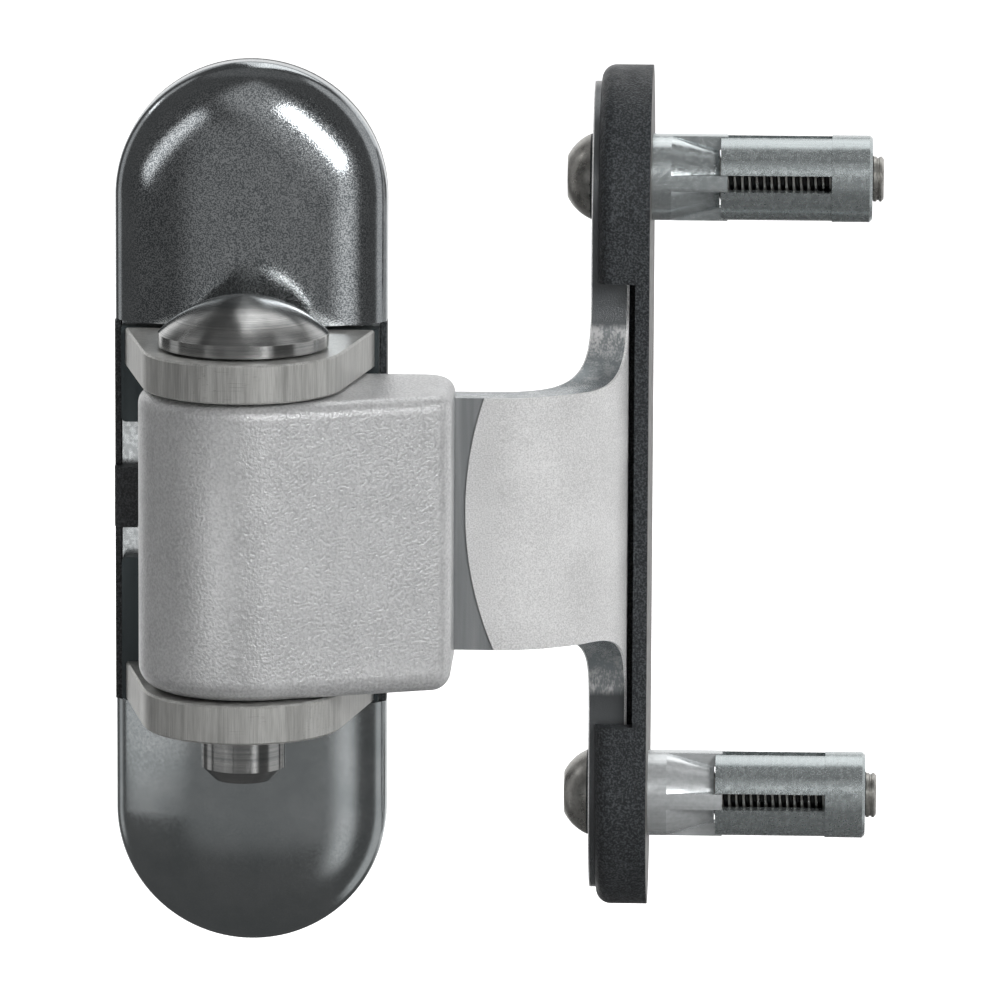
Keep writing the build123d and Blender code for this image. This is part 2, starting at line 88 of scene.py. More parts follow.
class Shader:
    """A small builder for one procedural material."""

    def __init__(self, name: str, roughness: float, metallic: float) -> None:
        """Start a material with one principled shader.

        Args:
            name: The material's name.
            roughness: The surface's roughness, if nothing is linked to it.
            metallic: One for bare metal, nought for plastic.
        """
        self.material = bpy.data.materials.new(name)
        self.material.use_nodes = True
        self.roughness = roughness
        self.tree = self.material.node_tree
        self.surface = self.tree.nodes["Principled BSDF"]
        self.surface.inputs["Roughness"].default_value = roughness
        self.surface.inputs["Metallic"].default_value = metallic
        self.place = self.node("ShaderNodeTexCoord").outputs["Object"]

    def node(self, kind: str, **settings: object) -> bpy.types.Node:
        """Add a node.

        Args:
            kind: The node's type.
            settings: The properties to set on it.

        Returns:
            The node.
        """
        made = self.tree.nodes.new(kind)
        for key, worth in settings.items():
            setattr(made, key, worth)
        return made

    def link(self, source: Socket, target: Socket) -> None:
        """Join two sockets."""
        self.tree.links.new(source, target)

    def feed(self, target: Socket, worth: Union[float, Socket]) -> None:
        """Set an input to a number, or join a socket to it.

        Args:
            target: The input.
            worth: The number or the socket.
        """
        if isinstance(worth, (int, float)):
            target.default_value = worth
        else:
            self.link(worth, target)

    def linked_to(self, name: str) -> Socket:
        """What one of the surface's inputs is linked to."""
        return self.surface.inputs[name].links[0].from_socket

    def mapped(self, grain: Grain, centre: Sequence[float] = (0, 0, 0)) -> Socket:
        """Object coordinates from a centre, drawn out along the grain.

        Args:
            grain: The direction of the pattern.
            centre: The pattern's centre in metres.

        Returns:
            A vector socket.
        """
        shift = self.node("ShaderNodeMapping", vector_type="POINT")
        self.link(self.place, shift.inputs["Vector"])
        shift.inputs["Location"].default_value = [-c * g for c, g in zip(centre, grain.value)]
        shift.inputs["Scale"].default_value = grain.value
        return shift.outputs["Vector"]

    def noise(self, size_mm: float, detail: float = 3.0, grain: Grain = Grain.EVEN,
              vector: Optional[Socket] = None) -> Socket:
        """A noise whose blotches are about the given size.

        Args:
            size_mm: The size of one blotch in millimetres.
            detail: How many finer octaves are added.
            grain: The direction of the pattern, where no coordinates are given.
            vector: The coordinates, or None for the object's own.

        Returns:
            The noise's value socket.
        """
        made = self.node("ShaderNodeTexNoise")
        made.inputs["Scale"].default_value = 1 / (size_mm * MM)
        made.inputs["Detail"].default_value = detail
        self.link(vector or self.mapped(grain), made.inputs["Vector"])
        return made.outputs["Fac"]

    def math(self, operation: str, first: Union[float, Socket], second: Union[float, Socket] = 0.0) -> Socket:
        """A math node.

        Args:
            operation: Blender's name for what it does.
            first: A number or a socket.
            second: A number or a socket.

        Returns:
            The result's socket.
        """
        made = self.node("ShaderNodeMath", operation=operation)
        self.feed(made.inputs[0], first)
        self.feed(made.inputs[1], second)
        return made.outputs[0]

    def reach(self, first: Socket, second: Socket) -> Socket:
        """How far a point is from an axis, from its two distances across it."""
        return self.math("SQRT", self.math("ADD", self.math("MULTIPLY", first, first),
                                           self.math("MULTIPLY", second, second)))

    def mixture(self, first: Socket, second: Socket, second_share: float) -> Socket:
        """Two patterns added in shares that make one."""
        return self.math("ADD", self.math("MULTIPLY", first, 1 - second_share),
                         self.math("MULTIPLY", second, second_share))

    def remap(self, value: Socket, low: float, high: float, to_low: float = 0.0,
              to_high: float = 1.0) -> Socket:
        """A smooth step from one range to another.

        Args:
            value: The socket to step.
            low: Where the step begins.
            high: Where it ends.
            to_low: The level below it.
            to_high: The level above it.

        Returns:
            The result's socket.
        """
        made = self.node("ShaderNodeMapRange", interpolation_type="SMOOTHSTEP")
        self.link(value, made.inputs["Value"])
        for key, worth in (("From Min", low), ("From Max", high), ("To Min", to_low), ("To Max", to_high)):
            made.inputs[key].default_value = worth
        return made.outputs["Result"]

    def remap_mm(self, value: Socket, low: float, high: float, to_low: float = 0.0,
                 to_high: float = 1.0) -> Socket:
        """The same step for a length, with its beginning and end in millimetres."""
        return self.remap(value, low * MM, high * MM, to_low, to_high)

    def blend(self, factor: Socket, first: Union[Colour, Socket], second: Union[Colour, Socket]) -> Socket:
        """A mix of two colours.

        Args:
            factor: Nought for the first colour, one for the second.
            first: A colour or a socket.
            second: A colour or a socket.

        Returns:
            The colour's socket.
        """
        made = self.node("ShaderNodeMix", data_type="RGBA")
        self.link(factor, made.inputs["Factor"])
        for socket, worth in ((made.inputs[6], first), (made.inputs[7], second)):
            if isinstance(worth, tuple):
                socket.default_value = (*worth, 1)
            else:
                self.link(worth, socket)
        return made.outputs[2]

    def split(self, vector: Socket) -> Sequence[Socket]:
        """A vector's three parts."""
        made = self.node("ShaderNodeSeparateXYZ")
        self.link(vector, made.inputs["Vector"])
        return tuple(made.outputs)

    def coordinate(self, axis: Axis) -> Socket:
        """One of the object's coordinates, in metres."""
        return self.split(self.place)[axis.value]

    def distance(self, axis: Axis, place_mm: float) -> Socket:
        """How far a point lies past a place on an axis, in metres."""
        return self.math("SUBTRACT", self.coordinate(axis), place_mm * MM)

    def ladder(self, step_mm: float) -> Socket:
        """Coordinates that only change in even steps along Z, for regular tool marks.

        Args:
            step_mm: One step in millimetres.

        Returns:
            A vector socket.
        """
        made = self.node("ShaderNodeCombineXYZ")
        self.link(self.math("SNAP", self.coordinate(Axis.Z), step_mm * MM), made.inputs["Z"])
        return made.outputs["Vector"]

    def colour(self, source: Socket) -> None:
        """Use a socket as the base colour."""
        self.link(source, self.surface.inputs["Base Color"])

    def rough(self, pattern: Socket, spread: Band) -> None:
        """Let a noise vary the roughness.

        Args:
            pattern: The noise.
            spread: What is added to the surface's roughness at the noise's low and high end.
        """
        low, high = spread
        self.link(self.remap(pattern, *NOISE_BAND, self.roughness + low, self.roughness + high),
                  self.surface.inputs["Roughness"])

    def bump(self, height: Socket, depth_mm: float) -> None:
        """Raise the surface by a height field, on top of any bump that is there.

        Args:
            height: A value from nought to one.
            depth_mm: How deep that range is in millimetres.
        """
        made = self.node("ShaderNodeBump")
        made.inputs["Strength"].default_value = 1.0
        made.inputs["Distance"].default_value = depth_mm * MM
        self.link(height, made.inputs["Height"])
        normal = self.surface.inputs["Normal"]
        if normal.is_linked:
            self.link(self.linked_to("Normal"), made.inputs["Normal"])
        self.link(made.outputs["Normal"], normal)

    def shine(self, level: Union[float, Socket]) -> None:
        """Let the surface give off light alone, at a level or a socket's value."""
        light = self.node("ShaderNodeEmission")
        self.feed(light.inputs["Strength"], level)
        self.link(light.outputs["Emission"], self.tree.nodes["Material Output"].inputs["Surface"])


@dataclass(frozen=True)
class DrawnSteel:
    """Deep drawn and polished sheet; its fine grain breaks the edges of every reflection into specks."""

    name: str
    end_z: float
    face_reach: float
    dark: Colour = (0.235, 0.26, 0.275)
    light: Colour = (0.81, 0.84, 0.86)
    speck_mm: float = 0.26
    speck_depth_mm: float = 0.011
    speck_band: Band = (0.42, 0.58)
    cloud_mm: float = 9.0
    cloud_band: Band = (0.2, 0.8)
    cloud_share: float = 0.15
    fine_mm: float = 0.6
    roughness: float = 0.08
    spread: Band = (0.0, 0.07)
    face_fade: float = 4.0
    side_share: float = 0.3

    def make(self) -> bpy.types.Material:
        """Build the material."""
        shader = Shader(self.name, self.roughness, 1.0)
        speck = shader.noise(self.speck_mm, detail=1.0)
        cloud = shader.noise(self.cloud_mm)
        sharp = shader.math("SUBTRACT", shader.remap(speck, *self.speck_band), MIDDLE)
        sharp = shader.math("ADD", shader.math("MULTIPLY", sharp, self.on_the_face(shader)), MIDDLE)
        mixed = shader.mixture(sharp, shader.remap(cloud, *self.cloud_band), self.cloud_share)
        shader.colour(shader.blend(mixed, self.dark, self.light))
        shader.rough(shader.noise(self.fine_mm), self.spread)
        shader.bump(speck, self.speck_depth_mm)
        return shader.material

    def on_the_face(self, shader: Shader) -> Socket:
        """Where the flat face is.

        Args:
            shader: The material's builder.

        Returns:
            One on the face, falling off where the sheet was drawn round to the sides.
        """
        over = shader.math("MAXIMUM", shader.distance(Axis.Z, self.end_z), 0)
        reach = shader.reach(shader.coordinate(Axis.X), over)
        return shader.remap_mm(reach, self.face_reach, self.face_reach + self.face_fade, 1.0, self.side_share)


@dataclass(frozen=True)
class MilledSteel:
    """Sawn and milled plate: fine upright streaks, a few saw marks across, and painted shade that turns the
    set-back part behind near black.
    """

    name: str
    dark: Colour = (0.39, 0.39, 0.375)
    light: Colour = (0.64, 0.64, 0.62)
    streak_mm: float = 0.22
    streak_depth_mm: float = 0.012
    streak_band: Band = (0.3, 0.68)
    wide_mm: float = 1.6
    saw_mm: float = 0.4
    saw_depth_mm: float = 0.02
    saw_band: Band = (0.56, 0.7)
    saw_share: float = 0.35
    patch_mm: float = 8.0
    patch_band: Band = (0.45, 0.62)
    roughness: float = 0.36
    spread: Band = (-0.05, 0.10)
    metallic: float = 0.65
    web_front_y: Optional[float] = None
    # Painted shade: the near-black colour the plate takes behind web_front_y.
    painted_web_shade: Colour = (0.07, 0.085, 0.09)
    web_shade_fade: Band = (-0.3, -0.1)

    def make(self) -> bpy.types.Material:
        """Build the material."""
        shader = Shader(self.name, self.roughness, self.metallic)
        streak = shader.noise(self.streak_mm, detail=4.0, grain=Grain.UPRIGHT)
        wide = shader.noise(self.wide_mm, grain=Grain.UPRIGHT)
        saw = shader.noise(self.saw_mm, grain=Grain.ALONG_X)
        patch = shader.remap(shader.noise(self.patch_mm, detail=2.0), *self.patch_band)
        marks = shader.math("MULTIPLY", shader.remap(saw, *self.saw_band), patch)
        mixed = shader.math("SUBTRACT", shader.remap(shader.mixture(streak, wide, MIDDLE), *self.streak_band),
                            shader.math("MULTIPLY", marks, self.saw_share))
        metal = shader.blend(mixed, self.dark, self.light)
        # Painted shade: behind web_front_y the colour fades to near black.
        if self.web_front_y is not None:
            start, end = (self.web_front_y + gap for gap in self.web_shade_fade)
            metal = shader.blend(shader.remap_mm(shader.coordinate(Axis.Y), start, end), metal, self.painted_web_shade)
        shader.colour(metal)
        shader.rough(wide, self.spread)
        shader.bump(streak, self.streak_depth_mm)
        shader.bump(marks, self.saw_depth_mm)
        return shader.material


@dataclass(frozen=True)
class TurnedSteel:
    """Turned about an upright axis: fine rings whose mirror light runs out in sectors."""

    name: str
    axis_y: float
    dark: Colour = (0.40, 0.41, 0.41)
    light: Colour = (0.62, 0.62, 0.61)
    ring_mm: float = 0.3
    ring_depth_mm: float = 0.005
    cloud_mm: float = 4.0
    cloud_share: float = 0.4
    roughness: float = 0.2
    stretch: float = 0.95
    stretch_turn: float = 0.25

    def make(self) -> bpy.types.Material:
        """Build the material."""
        shader = Shader(self.name, self.roughness, 1.0)
        across, along, height = shader.split(shader.mapped(Grain.EVEN, (0, self.axis_y, 0)))
        ring = shader.node("ShaderNodeCombineXYZ")
        shader.link(shader.reach(across, along), ring.inputs["X"])
        shader.link(height, ring.inputs["Y"])
        rings = shader.noise(self.ring_mm, vector=ring.outputs["Vector"])
        mixed = shader.mixture(rings, shader.noise(self.cloud_mm), self.cloud_share)
        shader.colour(shader.blend(shader.remap(mixed, *NOISE_BAND), self.dark, self.light))
        shader.bump(rings, self.ring_depth_mm)
        shader.surface.inputs["Anisotropic"].default_value = self.stretch
        shader.surface.inputs["Anisotropic Rotation"].default_value = self.stretch_turn
        tangent = shader.node("ShaderNodeTangent", direction_type="RADIAL", axis="Z")
        shader.link(tangent.outputs["Tangent"], shader.surface.inputs["Tangent"])
        return shader.material


@dataclass(frozen=True)
class BlastedSteel:
    """Matte blasted metal: small pits, soft clouds and a part of plain scatter."""

    name: str
    dark: Colour
    light: Colour
    grain_mm: float
    roughness: float
    metallic: float
    depth_mm: float
    cloud_mm: float
    cloud_share: float = 0.25
    spread: Band = (-0.05, 0.08)

    def shader(self) -> Shader:
        """Build the plain finish, for others to add to."""
        shader = Shader(self.name, self.roughness, self.metallic)
        fine = shader.noise(self.grain_mm)
        cloud = shader.noise(self.cloud_mm)
        mixed = shader.mixture(fine, cloud, self.cloud_share)
        shader.colour(shader.blend(shader.remap(mixed, *NOISE_BAND), self.dark, self.light))
        shader.rough(cloud, self.spread)
        shader.bump(fine, self.depth_mm)
        return shader

    def make(self) -> bpy.types.Material:
        """Build the material."""
        return self.shader().material


@dataclass(frozen=True)
class ScrewSteel:
    """Mottled warm steel with painted shade down in the thread's grooves; in millimetres, but the axis in
    metres.
    """

    name: str
    axis: tuple[float, float]
    thread_start: float
    thread_end: float
    root_radius: float
    crest_radius: float
    # The colour of the painted shade in the thread's grooves.
    groove: Colour = (0.03, 0.03, 0.03)
    root_margin: float = 0.15
    crest_margin: float = 0.1
    start_fade: float = 1.0
    end_fade: float = 0.2

    def make(self) -> bpy.types.Material:
        """Build the material."""
        shader = BlastedSteel(self.name, (0.35, 0.34, 0.32), (0.60, 0.59, 0.56), grain_mm=0.5, roughness=0.3,
                              metallic=0.85, depth_mm=0.012, cloud_mm=2.5, cloud_share=0.6).shader()
        metal = shader.linked_to("Base Color")
        along, across, up = shader.split(shader.mapped(Grain.EVEN, (0, *self.axis)))
        # Painted shade: near black from the crest down to the root, along the threaded length.
        deep = shader.remap_mm(shader.reach(across, up), self.root_radius + self.root_margin,
                               self.crest_radius - self.crest_margin, 1.0, 0.0)
        after = shader.remap_mm(along, self.thread_start - self.start_fade, self.thread_start)
        before = shader.remap_mm(along, self.thread_end - self.end_fade, self.thread_end, 1.0, 0.0)
        threaded = shader.math("MULTIPLY", shader.math("MULTIPLY", deep, after), before)
        shader.colour(shader.blend(threaded, metal, self.groove))
        return shader.material


@dataclass(frozen=True)
class BentPlateSteel:
    """The leaf plate: a blasted face, a smoother milled zone and dark cut edges with mill marks, whose
    near-white streaks are partly painted highlight.
    """

    name: str
    bend_x: float = 48.9
    bend_y: float = 6.0
    bend_radius: float = 27.3
    thickness: float = 7.8
    milled_x: float = 117.0
    milled_z: float = 2.3
    milled_radius: float = 73.0
    milled_rim: Band = (-0.15, 0.05)
    milled_end: float = 60.0
    bar_middle_z: float = -2.43
    flare_band: Band = (30.0, 38.0)
    flare_share: float = 0.3
    pad_start: float = 37.0
    pad_fade: float = 2.0
    outer_rim: Band = (0.42, 0.55)
    inner_rim: Band = (0.18, 0.3)
    streak_mm: float = 0.4
    wide_mm: float = 2.2
    tick_mm: float = 0.35
    tick_band: Band = (0.45, 0.6)
    tick_share: float = 0.35
    mark_band: Band = (0.44, 0.62)
    mark_depth_mm: float = 0.012
    milled_dark: Colour = (0.20, 0.21, 0.215)
    milled_light: Colour = (0.29, 0.30, 0.305)
    cut_dark: Colour = (0.29, 0.325, 0.34)
    cut_streak_highlight: Colour = (0.98, 0.98, 0.98)
    step_dark: Colour = (0.05, 0.055, 0.06)
    step_light: Colour = (0.5, 0.52, 0.53)
    metallic: Band = (0.3, 0.7)
    cut_roughness: float = 0.45

    def depth(self, shader: Shader) -> Socket:
        """How deep a point lies behind the plate's outer face, in metres."""
        across = shader.math("MAXIMUM", shader.distance(Axis.X, self.bend_x), 0)
        back = shader.math("MINIMUM", shader.distance(Axis.Y, self.bend_y), 0)
        return shader.math("SUBTRACT", self.bend_radius * MM, shader.reach(across, back))

    def milled(self, shader: Shader) -> Socket:
        """Where the face is milled.

        Args:
            shader: The material's builder.

        Returns:
            One outside the cutter's circle and before the bend, else nought.
        """
        reach = shader.reach(shader.distance(Axis.X, self.milled_x), shader.distance(Axis.Z, self.milled_z))
        outside = shader.remap_mm(reach, *(self.milled_radius + gap for gap in self.milled_rim))
        before = shader.remap_mm(shader.coordinate(Axis.X), self.milled_end, self.milled_end + 1, 1.0, 0.0)
        return shader.math("MULTIPLY", outside, before)

    def make(self) -> bpy.types.Material:
        """Build the material."""
        shader = BlastedSteel(self.name, (0.53, 0.53, 0.53), (0.83, 0.83, 0.83), grain_mm=0.3, roughness=0.5,
                              metallic=self.metallic[0], depth_mm=0.045, cloud_mm=12.0).shader()
        blasted, rough = shader.linked_to("Base Color"), shader.linked_to("Roughness")
        streak = shader.noise(self.streak_mm, detail=4.0, grain=Grain.UPRIGHT)
        wide = shader.noise(self.wide_mm, grain=Grain.UPRIGHT)
        ticks = shader.noise(self.tick_mm, detail=1.0, vector=shader.ladder(self.tick_mm))
        smooth = shader.blend(shader.remap(wide, *NOISE_BAND), self.milled_dark, self.milled_light)
        face = shader.blend(self.milled(shader), blasted, smooth)
        height = shader.math("ABSOLUTE", shader.distance(Axis.Z, self.bar_middle_z))
        straight = shader.remap_mm(height, *self.flare_band, self.flare_share, 1.0)
        mixed = shader.math("ADD", shader.remap(shader.mixture(streak, wide, MIDDLE), *self.mark_band),
                            shader.math("MULTIPLY", ticks, self.tick_share))
        # Mill marks on the cut edges whose light streaks reach near white, which is partly painted highlight;
        # they are fainter towards the flare.
        cut = shader.blend(shader.math("MULTIPLY", mixed, straight), self.cut_dark, self.cut_streak_highlight)
        beside = shader.remap_mm(height, self.pad_start, self.pad_start + self.pad_fade)
        steps = shader.blend(shader.remap(ticks, *self.tick_band), self.step_dark, self.step_light)
        cut = shader.blend(beside, cut, steps)
        deep = self.depth(shader)
        start, end = self.inner_rim
        inner = shader.remap_mm(deep, self.thickness - end, self.thickness - start, 1.0, 0.0)
        edge = shader.math("MULTIPLY", shader.remap_mm(deep, *self.outer_rim), inner)
        shader.colour(shader.blend(edge, face, cut))
        shader.link(shader.remap(edge, 0, 1, *self.metallic), shader.surface.inputs["Metallic"])
        shader.link(shader.math("MULTIPLY", rough, shader.remap(edge, 0, 1, 1.0, self.cut_roughness)),
                    shader.surface.inputs["Roughness"])
        marks = shader.math("MULTIPLY", shader.math("ADD", streak, ticks), straight)
        shader.bump(shader.math("MULTIPLY", marks, edge), self.mark_depth_mm)
        return shader.material


@dataclass(frozen=True)
class GrainedPlastic:
    """Black moulded plastic with a spark-eroded grain, smooth and greyer on the face towards the door."""

    name: str
    dark: Colour = (0.013, 0.015, 0.017)
    light: Colour = (0.064, 0.070, 0.075)
    grain_mm: float = 0.42
    grain_band: Band = (0.4, 0.68)
    depth_mm: float = 0.16
    roughness: float = 0.36
    smooth_x: Optional[float] = None
    smooth_fade: Band = (-0.12, -0.02)
    smooth_spread: Band = (0.0, 0.16)
    rub_mm: float = 3.0
    swirl_mm: float = 14.0
    swirl_dark: Colour = (0.075, 0.072, 0.070)
    swirl_light: Colour = (0.135, 0.130, 0.124)
    speck_mm: float = 0.25
    speck_band: Band = (0.35, 0.65)
    speck: Colour = (0.07, 0.067, 0.064)

    def make(self) -> bpy.types.Material:
        """Build the material."""
        shader = Shader(self.name, self.roughness, 0.0)
        grain = shader.noise(self.grain_mm, detail=2.0)
        colour = shader.blend(shader.remap(grain, *self.grain_band), self.dark, self.light)
        depth = grain
        if self.smooth_x is not None:
            start, end = (self.smooth_x + gap for gap in self.smooth_fade)
            flat = shader.remap_mm(shader.coordinate(Axis.X), start, end)
            swirl = shader.blend(shader.remap(shader.noise(self.swirl_mm, detail=4.0), *NOISE_BAND),
                                 self.swirl_dark, self.swirl_light)
            specks = shader.remap(shader.noise(self.speck_mm, detail=2.0), *self.speck_band)
            colour = shader.blend(flat, colour, shader.blend(specks, self.speck, swirl))
            shader.rough(shader.noise(self.rub_mm), self.smooth_spread)
            depth = shader.math("MULTIPLY", grain, shader.math("SUBTRACT", 1.0, flat))
        shader.colour(colour)
        shader.bump(depth, self.depth_mm)
        return shader.material


@dataclass(frozen=True)
class ZincPlate:
    """Blue-white zinc, with faint crystals and brush lines."""

    name: str
    dark: Colour = (0.44, 0.485, 0.49)
    light: Colour = (0.66, 0.71, 0.72)
    grain: Grain = Grain.ALONG_X
    roughness: float = 0.24
    spread: Band = (-0.05, 0.07)
    metallic: float = 0.85
    line_mm: float = 0.5
    line_depth_mm: float = 0.004
    crystal_mm: float = 0.9
    crystal_depth_mm: float = 0.008
    crystal_share: float = 0.6
    band: Band = (0.22, 0.78)

    def make(self) -> bpy.types.Material:
        """Build the material."""
        shader = Shader(self.name, self.roughness, self.metallic)
        lines = shader.noise(self.line_mm, detail=4.0, grain=self.grain)
        crystal = shader.noise(self.crystal_mm)
        mixed = shader.mixture(lines, crystal, self.crystal_share)
        shader.colour(shader.blend(shader.remap(mixed, *self.band), self.dark, self.light))
        shader.rough(crystal, self.spread)
        shader.bump(lines, self.line_depth_mm)
        shader.bump(crystal, self.crystal_depth_mm)
        return shader.material


def select_only(obj: bpy.types.Object) -> None:
    """Select one object alone and make it active."""
    bpy.ops.object.select_all(action="DESELECT")
    obj.select_set(True)
    bpy.context.view_layer.objects.active = obj


def only_in_mirrors(obj: bpy.types.Object) -> None:
    """Let nothing but mirror reflections see an object."""
    for ray in ("camera", "diffuse", "transmission", "volume_scatter", "shadow"):
        setattr(obj, f"visible_{ray}", False)


def dress(node: str, material: bpy.types.Material) -> None:
    """Give a CAD node its finish.

    Args:
        node: The node's name.
        material: Its only material.
    """
    for slot in frame["nodes"][node].material_slots:
        slot.material = material
    LOG.info("dressed %s with %s", node, material.name)


@dataclass
class PostSide:
    """The pad, the base plate, its clamp screws and the two covers, with its sizes in millimetres."""

    cover_end_z: float = 63.1
    cover_face_reach: float = 21.5

    def build(self) -> None:
        """Dress every piece."""
        dress("post_pad", GrainedPlastic("post_plastic").make())
        dress("base_plate", ZincPlate("base_zinc", (0.66, 0.69, 0.70), (0.76, 0.79, 0.80), Grain.UPRIGHT,
                                      roughness=0.26, metallic=0.9).make())
        zinc = ZincPlate("clamp_zinc").make()
        for side in Side:
            dress(f"{side.value}_clamp_screw", zinc)
        dress("upper_cover", DrawnSteel("speckled_cover", self.cover_end_z, self.cover_face_reach).make())
        dress("lower_cover", DrawnSteel("satin_cover", self.cover_end_z, self.cover_face_reach,
                                        (0.49, 0.53, 0.54), (0.65, 0.68, 0.69), speck_depth_mm=0.002,
                                        cloud_share=0.8, roughness=0.15).make())


@dataclass
class HingeBarrel:
    """The bracket, the pin and the knuckle with its small pieces; the place where the bracket's painted shade
    begins in millimetres, the pin in metres.
    """

    # Where the painted shade on the bracket begins.
    web_front_y: float = -9.6
    pin_axis_y: float = field(init=False)

    def __post_init__(self) -> None:
        """Read the pin's axis from the swing joint."""
        joint = next(j for j in frame["joints"] if j["name"] == "leaf_swing")
        self.pin_axis_y = joint["pos_m"][1]

    def build(self) -> None:
        """Dress every piece."""
        dress("ear_bracket", MilledSteel("milled_shaded_bracket", web_front_y=self.web_front_y).make())
        dress("hinge_pin", TurnedSteel("turned_pin", self.pin_axis_y).make())
        dress("knuckle", BlastedSteel("cast_knuckle", (0.58, 0.585, 0.59), (0.82, 0.825, 0.83), grain_mm=0.55,
                                      roughness=0.34, metallic=0.66, depth_mm=0.17, cloud_mm=11.0).make())
        bronze = MilledSteel("bush_bronze", (0.36, 0.25, 0.12), (0.6, 0.44, 0.24)).make()
        washer = GrainedPlastic("washer_plastic", grain_mm=0.2).make()
        zinc = ZincPlate("tongue_screw_zinc", grain=Grain.ALONG_Y).make()
        for side in Side:
            dress(f"{side.value}_bush", bronze)
            dress(f"{side.value}_washer", washer)
            dress(f"{side.value}_tongue_screw", zinc)


@dataclass
class AnchorScrew:
    """A button head screw with a real thread and a ringed tip, in millimetres and degrees."""

    pitch: float = 1.5
    crest_radius: float = 4.8
    root_radius: float = 3.9
    crest_width: float = 0.4
    flank_width: float = 0.3
    thread_start: float = 86.0
    core_gap: float = 0.1
    core_overlap: float = 1.0
    tip_length: float = 2.3
    tip_radius: float = 4.64
    tip_start: float = 0.2
    ring_places: tuple[float, ...] = (0.75, 1.0, 1.2, 1.45)
    ring_depth: float = 0.3
    chamfer_start: float = 1.85
    chamfer_depth: float = 0.55
    steps: int = 32
    smooth_angle: float = 30.0

    def build(self, side: Side) -> None:
        """Make one screw in the place of its plain CAD node.

        Args:
            side: Which of the two screws.
        """
        node = f"{side.value}_anchor_screw"
        low, high = (Vector(corner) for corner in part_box(node))
        centre = (low + high) / 2
        end = high.x / MM
        name = f"{side.value}_threaded_screw"
        piece = bpy.data.objects.new(name, frame["nodes"][node].data.copy())
        bpy.context.collection.objects.link(piece)
        select_only(piece)
        self.cut_to_head()
        rod = self.thread(end)
        rod.data.transform(Matrix.Translation((0, centre.y, centre.z)))
        select_only(piece)
        rod.select_set(True)
        bpy.ops.object.join()
        bpy.ops.mesh.customdata_custom_splitnormals_clear()
        bpy.ops.object.shade_smooth_by_angle(angle=math.radians(self.smooth_angle))
        finish = ScrewSteel(f"{side.value}_groove_shaded_screw_steel", (centre.y, centre.z), self.thread_start,
                            end - self.tip_length, self.root_radius, self.crest_radius)
        piece.data.materials.clear()
        piece.data.materials.append(finish.make())
        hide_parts(node)
        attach(piece, "leaf")
        LOG.info("made %s", name)

    def cut_to_head(self) -> None:
        """Keep the selected screw's head and the start of its shank, and cut off the rest."""
        bpy.ops.object.mode_set(mode="EDIT")
        bpy.ops.mesh.select_all(action="SELECT")
        bpy.ops.mesh.remove_doubles(threshold=MERGE_GAP)
        bpy.ops.mesh.normals_make_consistent(inside=False)
        bpy.ops.mesh.bisect(plane_co=(self.thread_start * MM, 0, 0), plane_no=(1, 0, 0), use_fill=True,
                            clear_outer=True)
        bpy.ops.object.mode_set(mode="OBJECT")

    def thread(self, end: float) -> bpy.types.Object:
        """A threaded rod along X that ends in a chamfered tip.

        Args:
            end: Where the tip ends along X, in millimetres.

        Returns:
            The rod's object.
        """
        last = end - self.tip_length
        turns = int((last - self.thread_start) / self.pitch)
        first = last - turns * self.pitch
        half, top = self.pitch / 2, self.crest_width / 2
        flank = top + self.flank_width
        root, crest = self.root_radius, self.crest_radius
        ridge = [(-half, root), (-flank, root), (-top, crest), (top, crest), (flank, root), (half, root)]
        rod = self.turned("thread", [(first + x, radius) for x, radius in ridge], self.pitch, turns)
        core = self.turned("core", self.core_profile(last, end), 0.0, 1)
        select_only(rod)
        core.select_set(True)
        bpy.ops.object.join()
        return rod

    def core_profile(self, last: float, end: float) -> list[tuple[float, float]]:
        """The outline of the core inside the thread and of the tip beyond it.

        Args:
            last: Where the thread ends along X, in millimetres.
            end: Where the tip ends.

        Returns:
            Places along X and radii, in millimetres.
        """
        start, bore = self.thread_start - self.core_overlap, self.root_radius - self.core_gap
        rim, groove = self.tip_radius, self.tip_radius - self.ring_depth
        ring = zip(self.ring_places, (rim, groove, groove, rim))
        return [(start, 0), (start, bore), (last - self.core_gap, bore), (last + self.tip_start, rim),
                *((last + x, radius) for x, radius in ring),
                (last + self.chamfer_start, rim), (end, rim - self.chamfer_depth), (end, 0)]

    def turned(self, name: str, profile: Sequence[tuple[float, float]], offset: float,
               turns: int) -> bpy.types.Object:
        """Turn a profile about the X axis.

        Args:
            name: The object's name.
            profile: Places along X and radii, in millimetres.
            offset: How far one turn moves along X.
            turns: How many turns.

        Returns:
            The turned object.
        """
        data = bpy.data.meshes.new(name)
        data.from_pydata([(x * MM, 0, radius * MM) for x, radius in profile],
                         [(i, i + 1) for i in range(len(profile) - 1)], [])
        made = bpy.data.objects.new(name, data)
        bpy.context.collection.objects.link(made)
        select_only(made)
        screw = made.modifiers.new("turns", "SCREW")
        screw.axis = "X"
        screw.screw_offset = offset * MM
        screw.iterations = turns
        screw.steps = self.steps
        screw.render_steps = self.steps
        bpy.ops.object.modifier_apply(modifier=screw.name)
        bpy.ops.object.mode_set(mode="EDIT")
        bpy.ops.mesh.select_all(action="SELECT")
        bpy.ops.mesh.remove_doubles(threshold=MERGE_GAP)
        bpy.ops.mesh.fill_holes(sides=0)
        bpy.ops.mesh.select_all(action="SELECT")
        bpy.ops.mesh.normals_make_consistent(inside=False)
        bpy.ops.object.mode_set(mode="OBJECT")
        return made


